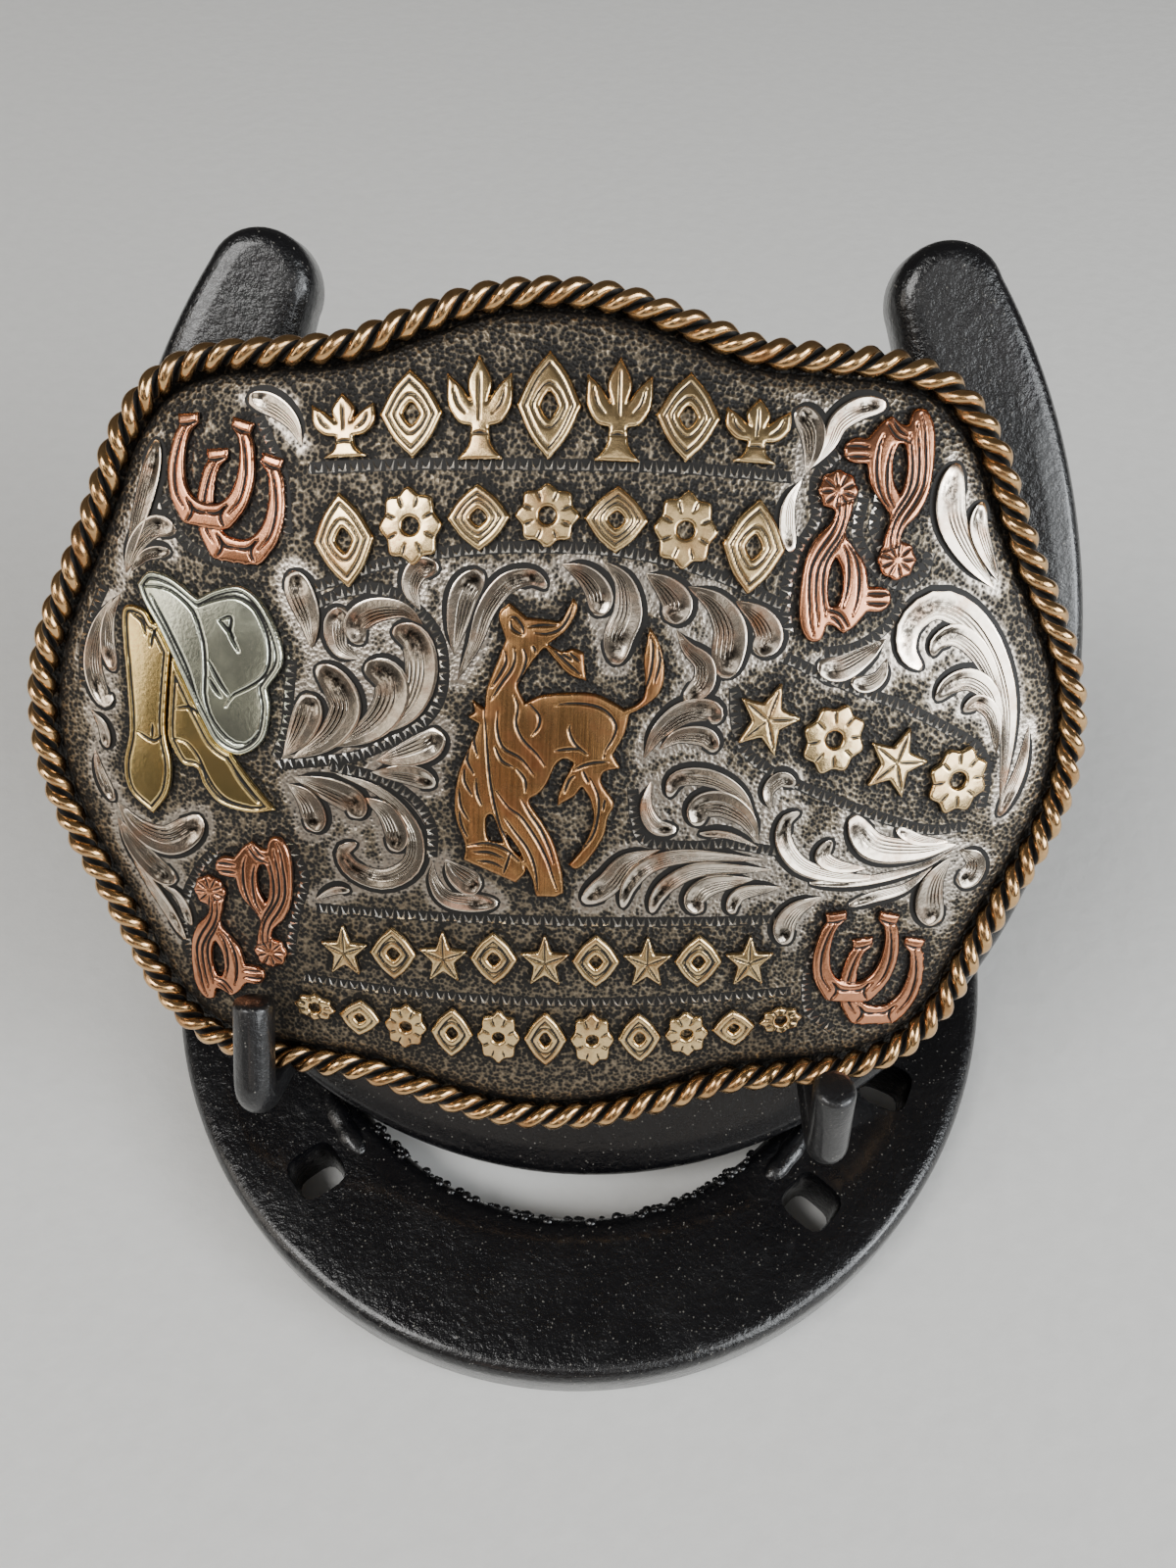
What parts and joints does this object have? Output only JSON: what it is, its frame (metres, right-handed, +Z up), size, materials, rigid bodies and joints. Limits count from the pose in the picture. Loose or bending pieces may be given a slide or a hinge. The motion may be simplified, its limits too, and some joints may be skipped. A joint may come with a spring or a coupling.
{
  "type": "western trophy buckle on horseshoe stand",
  "caption": "Domed western trophy belt buckle with rope edge and soldered figures, resting on two pegs of a stand welded from two horseshoes.",
  "frame": {"origin": "middle of the whole outline on the table, under the lying horseshoe", "axes": "+X to the viewer's right along the buckle's long side, +Y away from the viewer, +Z up"},
  "size_m": [0.1173, 0.1115, 0.0951],
  "materials": {
    "black_paint": "gloss black paint over forged steel",
    "engraved_silver": "bright-cut engraved nickel silver with a blackened ground",
    "gilt_rope": "antiqued twisted wire",
    "bronze": "brushed bronze with engraved lines",
    "green_gold": "polished, with engraved lines",
    "brass": "polished, with engraved lines",
    "copper": "polished, with cut ridges",
    "gilt": "polished",
    "back_wire": "plain drawn wire"
  },
  "bodies": {
    "root": {"stand": "black_paint", "plate": "engraved_silver", "rope_edge": "gilt_rope", "bronc_rider": "bronze", "hat": "green_gold", "boot_left": "brass", "boot_right": "brass", "horseshoes_upper": "copper", "horseshoes_lower": "copper", "spur_upper_left": "copper", "spur_upper_right": "copper", "spur_lower_left": "copper", "spur_lower_right": "copper", "belt_loop": "back_wire", "back_prong": "back_wire", "arch_ornament_1": "gilt", "arch_ornament_2": "gilt", "arch_ornament_3": "gilt", "arch_ornament_4": "gilt", "arch_ornament_5": "gilt", "arch_ornament_6": "gilt", "arch_ornament_7": "gilt", "hem_ornament_1": "gilt", "hem_ornament_10": "gilt", "hem_ornament_11": "gilt", "hem_ornament_2": "gilt", "hem_ornament_3": "gilt", "hem_ornament_4": "gilt", "hem_ornament_5": "gilt", "hem_ornament_6": "gilt", "hem_ornament_7": "gilt", "hem_ornament_8": "gilt", "hem_ornament_9": "gilt", "level_ornament_1": "gilt", "level_ornament_2": "gilt", "level_ornament_3": "gilt", "level_ornament_4": "gilt", "level_ornament_5": "gilt", "level_ornament_6": "gilt", "level_ornament_7": "gilt", "level_ornament_8": "gilt", "level_ornament_9": "gilt", "side_ornament_1": "gilt", "side_ornament_2": "gilt", "side_ornament_3": "gilt", "side_ornament_4": "gilt", "under_ornament_1": "gilt", "under_ornament_2": "gilt", "under_ornament_3": "gilt", "under_ornament_4": "gilt", "under_ornament_5": "gilt", "under_ornament_6": "gilt", "under_ornament_7": "gilt"}
  },
  "joints": []
}
